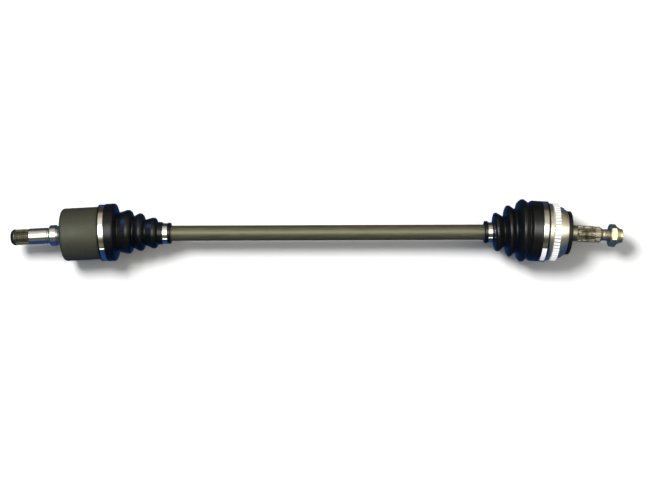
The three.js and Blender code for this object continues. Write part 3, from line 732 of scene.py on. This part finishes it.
def cut_outline(outline, low, high):
    """The part of an outline between two places on the axis."""

    def split(x):
        after = next(i for i, point in enumerate(outline) if point[0] > x)
        (x0, r0), (x1, r1) = outline[after - 1:after + 1]
        return after, (x, r0 + (r1 - r0) * (x - x0) / (x1 - x0))

    first, start = (0, None) if low is None else split(low)
    last, end = (len(outline), None) if high is None else split(high)
    return [point for point in (start, *outline[first:last], end) if point is not None]


def add_boot(name, node, boot, matrix, angle, cuts):
    """One piece between each two cuts, which are places on the bar's axis; every piece takes the
    boot's one bend."""
    outer, inner = boot_outlines(boot)
    edges = [None, *cuts, None]
    for i, (low, high) in enumerate(zip(edges, edges[1:])):
        ring = cut_outline(outer, low, high) + cut_outline(inner, low, high)[::-1]
        piece = turned(f"{name}_{i + 1}", ring, matrix, "rubber", facets=128, closed=True,
                       bend=bender(boot, angle), sharp=50)
        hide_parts(node)
        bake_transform(piece)


def add_boots():
    add_boot("gearbox_boot", "inner_boot", INBOARD_BOOT, INBOARD_BAR, INBOARD_BEND,
             cuts=(-79.6, -58.6))
    add_boot("wheel_boot", "outer_boot", OUTBOARD_BOOT, BAR_FRAME, OUTBOARD_BEND,
             cuts=(-79, -50.8, -29.3))


# ---- The clamps ----

BAND = 0.9
LAP_END = math.radians(35)  # the lap's edge, from the top of the clamp
LARGE_LAP = 0.62  # how far a lap reaches round its clamp, in radians
SMALL_LAP = 1.2


def curved_slab(name, x_span, r_span, turn_span, matrix, material):
    """A slab wrapped round the axis between two angles."""
    steps = 40
    corners = [(x_span[0], r_span[0]), (x_span[0], r_span[1]), (x_span[1], r_span[1]),
               (x_span[1], r_span[0])]
    vertices = [(x, -r * math.sin(turn), r * math.cos(turn))
                for turn in np.linspace(*turn_span, steps + 1) for x, r in corners]
    faces = [(0, 1, 2, 3), tuple(4 * steps + i for i in range(4))]
    for step in range(steps):
        for i in range(4):
            j = (i + 1) % 4
            faces.append((4 * step + i, 4 * step + j, 4 * step + 4 + j, 4 * step + 4 + i))
    return mesh_piece(name, vertices, faces, matrix, material)


def add_clamp(name, node, body, matrix, x_from, x_to, inner_r, side, lap_turn, lap_look):
    """A band, and its end lapped over it. side is +1 or -1: the way round to the lap."""
    outer_r = inner_r + BAND
    profile = fillet([(x_from, inner_r), (x_from, outer_r), (x_to, outer_r), (x_to, inner_r)],
                     0.3, 2)
    band = turned(name, profile, matrix, "band", facets=216, closed=True)
    lap = curved_slab(f"{name}_lap", (x_from + 0.1, x_to - 0.1), (outer_r - 0.1, outer_r + BAND),
                      (side * LAP_END, side * (LAP_END + lap_turn)), matrix, lap_look)
    for piece in (band, lap):
        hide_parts(node)
        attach(piece, body)


def add_clamps():
    for name, node, body, square, bent, boot, side, lap_look in (
        ("gearbox", "inner", "gearbox_end", INBOARD_BAR, INBOARD, INBOARD_BOOT, -1, "band"),
        # The wheel clamp's lap takes the pale matte tone-ring finish, not band steel: a painted
        # reflection, standing in for the bright glint on its steel lap.
        ("wheel", "outer", "wheel_end", BAR_FRAME, OUTBOARD, OUTBOARD_BOOT, 1, "tone"),
    ):
        add_clamp(f"{name}_large_band", f"{node}_large_clamp", body, bent,
                  boot["collar"][1] + GAP, boot["clamp_end"] - GAP, boot["clamp_seat_r"] + GAP,
                  side, LARGE_LAP, lap_look)
        add_clamp(f"{name}_small_band", f"{node}_small_clamp", "shaft", square,
                  boot["seat"][0] + 0.1, boot["seat"][1] - 0.1, boot["seat_r"] + GAP, side,
                  SMALL_LAP, "band")


# ---- Inner CAD pieces keep their shapes ----


def finish_inner_pieces():
    for name, node in frame["nodes"].items():
        if node.hide_render:
            continue
        look = "spring" if "clip" in name or "ring" in name else "ground"
        node.data.materials.clear()
        node.data.materials.append(MATERIALS[look])


# ---- Stage ----


# What the floor shows to anything but the lens, from its -Y side to its +Y side, in metres.
FLOOR_SIZE = 12
FLOOR_Z = -0.0005
FLOOR_REACH = 0.5
FLOOR_MIRRORED = [(-0.5, (0.02, 0.065, 0.2)), (0.09, (0.02, 0.065, 0.2)),
                  (0.16, (0.05, 0.045, 0.035)), (0.5, (0.05, 0.045, 0.035))]


def add_floor():
    bpy.ops.mesh.primitive_plane_add(size=FLOOR_SIZE, location=(0, 0, FLOOR_Z))
    floor = bpy.context.object
    floor.name = "floor"
    n = Nodes("floor")
    n.shader.inputs["Base Color"].default_value = (0.54, 0.545, 0.585, 1)
    n.shader.inputs["Roughness"].default_value = 0.9
    n.shader.inputs["Specular IOR Level"].default_value = 0.1
    sheet = n.add("ShaderNodeEmission")
    y = n.add("ShaderNodeSeparateXYZ")
    n.link(n.coords, y.inputs[0])
    across = n.span(y.outputs["Y"], 0, 1, -FLOOR_REACH, FLOOR_REACH)
    stops = [(0.5 + 0.5 * at / FLOOR_REACH, colour) for at, colour in FLOOR_MIRRORED]
    n.link(n.ramp(across, stops), sheet.inputs["Color"])
    path = n.add("ShaderNodeLightPath")
    mixed = n.add("ShaderNodeMixShader")
    n.link(path.outputs["Is Camera Ray"], mixed.inputs[0])
    n.link(sheet.outputs[0], mixed.inputs[1])
    n.link(n.shader.outputs[0], mixed.inputs[2])
    n.link(mixed.outputs[0], n.tree.nodes["Material Output"].inputs["Surface"])
    floor.data.materials.append(n.material)
    return floor


# Where each light shines from.
KEY_AT = Vector((-0.79, 0.77, 2.0))
TOP_FROM = Vector((-0.1, 0.14, 1))
GLOW_FROM = Vector((-0.65, 0.68, 0.33))
FILL_FROM = Vector((0.1, -0.85, 0.5))


def add_light(name, kind, place, energy, receivers, link="INCLUDE"):
    """A soft light aimed at the origin, for the receivers alone or for everything but them."""
    light = bpy.data.lights.new(name, kind)
    light.energy = energy
    holder = bpy.data.objects.new(name, light)
    holder.location = place
    holder.rotation_euler = place.to_track_quat("Z", "Y").to_euler()
    bpy.context.scene.collection.objects.link(holder)
    lit = bpy.data.collections.new(f"{name}_receivers")
    for item in receivers:
        lit.objects.link(item)
    for item in lit.collection_objects:
        item.light_linking.link_state = link
    holder.light_linking.receiver_collection = lit
    return light


def add_lights(floor):
    key = add_light("key", "AREA", KEY_AT, 17.8, [floor])
    key.color = (1, 0.99, 0.925)
    key.shape = "DISK"
    key.size = 0.76
    key.use_nodes = True
    falloff = key.node_tree.nodes.new("ShaderNodeLightFalloff")
    falloff.inputs["Strength"].default_value = 1
    lamp = key.node_tree.nodes["Emission"]
    key.node_tree.links.new(falloff.outputs["Constant"], lamp.inputs["Strength"])
    folds = [bpy.data.objects[f"gearbox_boot_{i}"] for i in (1, 2, 3)]
    wheel_folds = [bpy.data.objects[f"wheel_boot_{i}"] for i in (1, 2, 3, 4)]
    pale = [bpy.data.objects[name] for name in ("tone_ring", "wheel_large_band_lap")]
    white = (1, 1, 1)
    for name, place, energy, width, colour, receivers, link in (
        ("top", TOP_FROM, 1.5, 40, white, [floor], "EXCLUDE"),
        ("blue_glow", GLOW_FROM, 0.8, 25, (0.13, 0.28, 1), folds, "INCLUDE"),
        ("fill", FILL_FROM, 1.1, 40, white, pale, "INCLUDE"),
        ("wheel_boot_sheen", TOP_FROM, 1.3, 40, white, wheel_folds, "INCLUDE"),
    ):
        sun = add_light(name, "SUN", place, energy, receivers, link)
        sun.color = colour
        sun.angle = math.radians(width)


# What the metal mirrors, by the angle from overhead towards +Y, in degrees: a blue sheet at the
# horizon, a dim stretch in front, a bright ceiling overhead and a paler sky behind.
SKY = [(-180, (0.02, 0.06, 0.19)), (-78, (0.02, 0.065, 0.2)), (-68, (0.1, 0.11, 0.1)),
       (-60, (0.25, 0.25, 0.2)), (-48, (0.22, 0.22, 0.17)), (-38, (0.09, 0.09, 0.06)),
       (-26, (0.14, 0.13, 0.1)), (-14, (1.7, 1.65, 1.5)), (14, (1.9, 1.9, 1.8)),
       (23, (1.2, 1.2, 1.1)), (56, (1.0, 0.98, 0.88)), (66, (0.6, 0.54, 0.43)),
       (84, (0.5, 0.41, 0.31)), (92, (0.06, 0.05, 0.04)), (180, (0.02, 0.06, 0.19))]
# And by how far along the bar it looks: -1 towards the gearbox, 1 towards the wheel.
SKY_ALONG = [(-1, (0.02, 0.04, 0.1)), (-0.85, (0.12, 0.22, 0.5)), (-0.55, (0.6, 0.7, 0.95)),
             (-0.3, (1.5, 1.5, 1.45)), (-0.12, (1.5, 1.5, 1.45)), (0, (1.05, 1.05, 1.05)),
             (0.15, (0.75, 0.75, 0.72)), (0.3, (0.85, 0.84, 0.8)), (0.5, (1.5, 1.5, 1.4)),
             (0.88, (2.3, 2.2, 2.0)), (0.97, (0.3, 0.3, 0.3)), (1, (0.08, 0.08, 0.1))]


def add_world():
    world = bpy.data.worlds.new("studio")
    bpy.context.scene.world = world
    world.use_nodes = True
    tree = world.node_tree

    def add(kind, *inputs, **settings):
        node = tree.nodes.new(kind)
        for key, value in settings.items():
            setattr(node, key, value)
        for socket, output in zip(node.inputs, inputs):
            tree.links.new(output, socket)
        return node

    def ramp(factor, stops):
        return fill_ramp(add("ShaderNodeValToRGB", factor), stops)

    x, y, z = add("ShaderNodeSeparateXYZ", add("ShaderNodeTexCoord").outputs["Generated"]).outputs
    angle = add("ShaderNodeMath", y, z, operation="ARCTAN2").outputs[0]

    def spread(value, reach):
        node = add("ShaderNodeMapRange", value)
        node.inputs["From Min"].default_value = -reach
        node.inputs["From Max"].default_value = reach
        return node.outputs[0]

    across = ramp(spread(angle, math.pi), [(0.5 + at / 360, colour) for at, colour in SKY])
    along = ramp(spread(x, 1), [(0.5 + at / 2, colour) for at, colour in SKY_ALONG])
    both = add("ShaderNodeVectorMath", across, along, operation="MULTIPLY").outputs[0]
    seen = add("ShaderNodeMix", add("ShaderNodeLightPath").outputs["Is Camera Ray"],
               data_type="RGBA")
    tree.links.new(both, seen.inputs[6])
    seen.inputs[7].default_value = (1.5, 1.5, 1.5, 1)  # plain pale walls behind the floor
    tree.links.new(seen.outputs[2], tree.nodes["Background"].inputs["Color"])
    tree.nodes["Background"].inputs["Strength"].default_value = 0.6


def add_camera():
    sensor = 36
    distance = 2.0  # from the lens to the axle's height
    view_width = 1.0385  # metres across the picture at that height
    data = bpy.data.cameras.new("camera")
    data.sensor_width = sensor
    data.lens = sensor * distance / view_width
    data.clip_end = 50
    camera = bpy.data.objects.new("camera", data)
    from_joint = Vector((-0.361, -0.0181, distance))  # from the ball joint to the lens
    camera.location = BALL_JOINT + from_joint
    camera.rotation_euler = (0, 0, math.radians(-0.2))
    bpy.context.scene.collection.objects.link(camera)
    bpy.context.scene.camera = camera


add_bar()
add_gearbox_end()
add_bell()
add_wheel_stub()
add_tone_ring()
add_dust_cap()
add_nut()
add_boots()
add_clamps()
finish_inner_pieces()
add_lights(add_floor())
add_world()
add_camera()
bpy.context.scene.view_settings.view_transform = "Standard"
